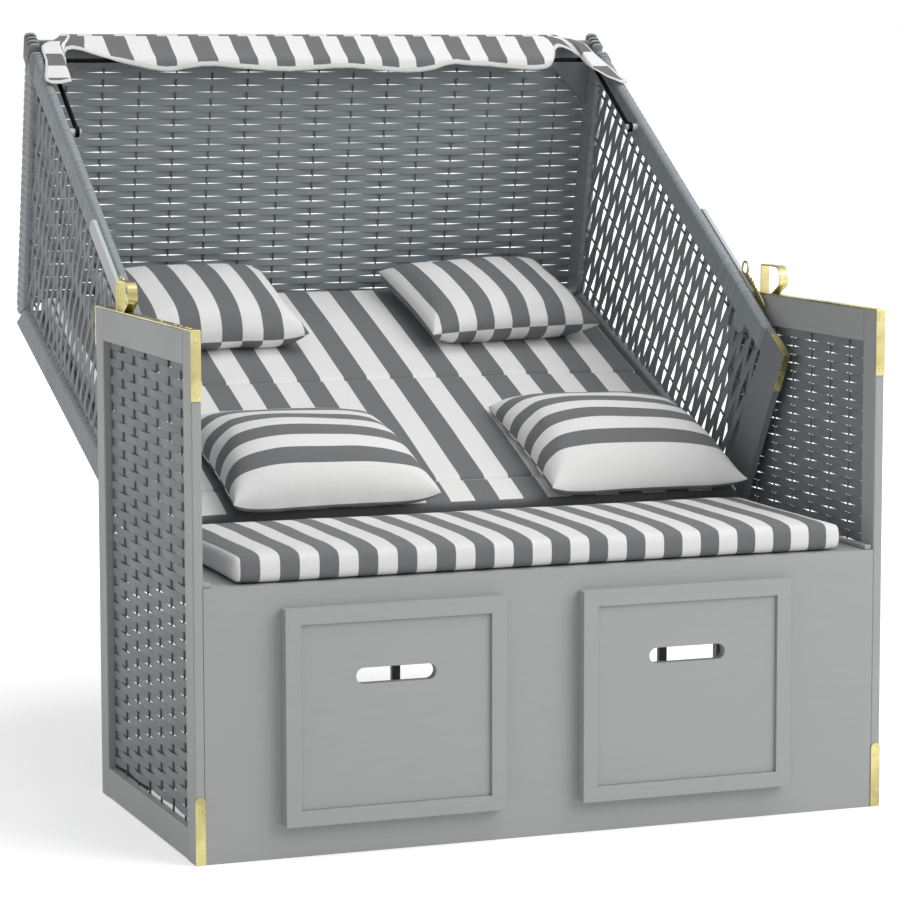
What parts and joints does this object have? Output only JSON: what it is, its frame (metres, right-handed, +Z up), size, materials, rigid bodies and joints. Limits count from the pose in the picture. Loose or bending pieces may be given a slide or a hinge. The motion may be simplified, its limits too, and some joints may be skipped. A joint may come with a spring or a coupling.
{
  "type": "hooded beach chair",
  "caption": "Wide two-seat hooded beach chair with a woven reclining hood, striped cushions and pillows, a folding awning and pull-out footrests.",
  "frame": {"origin": "on the ground, under the middle of the whole chair as it stands with its hood leant back", "axes": "+X to the right as seen from the front, +Y to the back, where the hood leans, +Z up"},
  "size_m": [1.18, 1.284, 1.2806],
  "materials": {
    "base_wood": "satin grey paint",
    "wrapped_wood": "wrapped in flat grey strips",
    "weave": "flat woven strips",
    "pale_wood": "satin pale paint",
    "brass": "polished",
    "black_steel": "satin black",
    "striped_cloth": "grey and white stripes"
  },
  "bodies": {
    "base": {"left_front_post": "base_wood", "left_rear_post": "base_wood", "left_arm_rail": "base_wood", "left_sill_rail": "base_wood", "left_side_weave": "weave", "left_arm_strap": "brass", "left_foot_strap": "brass", "left_pivot_pin": "brass", "left_footrest_left_runner": "base_wood", "left_footrest_right_runner": "base_wood", "right_front_post": "base_wood", "right_rear_post": "base_wood", "right_arm_rail": "base_wood", "right_sill_rail": "base_wood", "right_side_weave": "weave", "right_arm_strap": "brass", "right_foot_strap": "brass", "right_pivot_pin": "brass", "right_footrest_left_runner": "base_wood", "right_footrest_right_runner": "base_wood", "front_board": "base_wood", "rear_frame": "base_wood", "seat_board": "base_wood", "seat_cushion": "striped_cloth"},
    "hood": {"left_front_stile": "wrapped_wood", "left_roof_stile": "wrapped_wood", "left_back_stile": "wrapped_wood", "left_end_board": "base_wood", "left_hood_weave": "weave", "left_lock_rail": "pale_wood", "left_rack": "brass", "left_corner_strap": "brass", "right_front_stile": "wrapped_wood", "right_roof_stile": "wrapped_wood", "right_back_stile": "wrapped_wood", "right_end_board": "base_wood", "right_hood_weave": "weave", "right_lock_rail": "pale_wood", "right_rack": "brass", "right_corner_strap": "brass", "top_rail": "base_wood", "roof_weave": "weave", "rear_rail": "wrapped_wood", "back_weave": "weave", "backrest_board": "base_wood", "backrest_cushion": "striped_cloth", "left_lap_pillow": "striped_cloth", "right_lap_pillow": "striped_cloth", "left_head_pillow": "striped_cloth", "right_head_pillow": "striped_cloth"},
    "awning": {"awning_bow": "black_steel", "awning_canopy": "striped_cloth"},
    "left_footrest": {"left_footrest_frame": "base_wood", "left_footrest_panel": "base_wood", "left_footrest_carcass": "base_wood"},
    "right_footrest": {"right_footrest_frame": "base_wood", "right_footrest_panel": "base_wood", "right_footrest_carcass": "base_wood"},
    "left_latch": {"left_latch_hoop": "brass"},
    "right_latch": {"right_latch_hoop": "brass"}
  },
  "joints": [
    {"name": "hood_tilt", "type": "hinge", "parent": "base", "child": "hood", "pos_m": [0, -0.16102, 0.778], "axis": [1, 0, 0], "range_deg": [0, 68.6]},
    {"name": "awning_swing", "type": "hinge", "parent": "hood", "child": "awning", "pos_m": [0, 0.28798, 1.1091], "axis": [1, 0, 0], "range_deg": [0, 75]},
    {"name": "left_footrest_slide", "type": "slide", "parent": "base", "child": "left_footrest", "axis": [0, -1, 0], "range_m": [0, 0.36]},
    {"name": "right_footrest_slide", "type": "slide", "parent": "base", "child": "right_footrest", "axis": [0, -1, 0], "range_m": [0, 0.36]},
    {"name": "left_latch_lift", "type": "hinge", "parent": "base", "child": "left_latch", "pos_m": [-0.582, -0.18702, 0.8284], "axis": [-1, 0, 0], "range_deg": [0, 60]},
    {"name": "right_latch_lift", "type": "hinge", "parent": "base", "child": "right_latch", "pos_m": [0.582, -0.18702, 0.8284], "axis": [-1, 0, 0], "range_deg": [0, 60]}
  ]
}
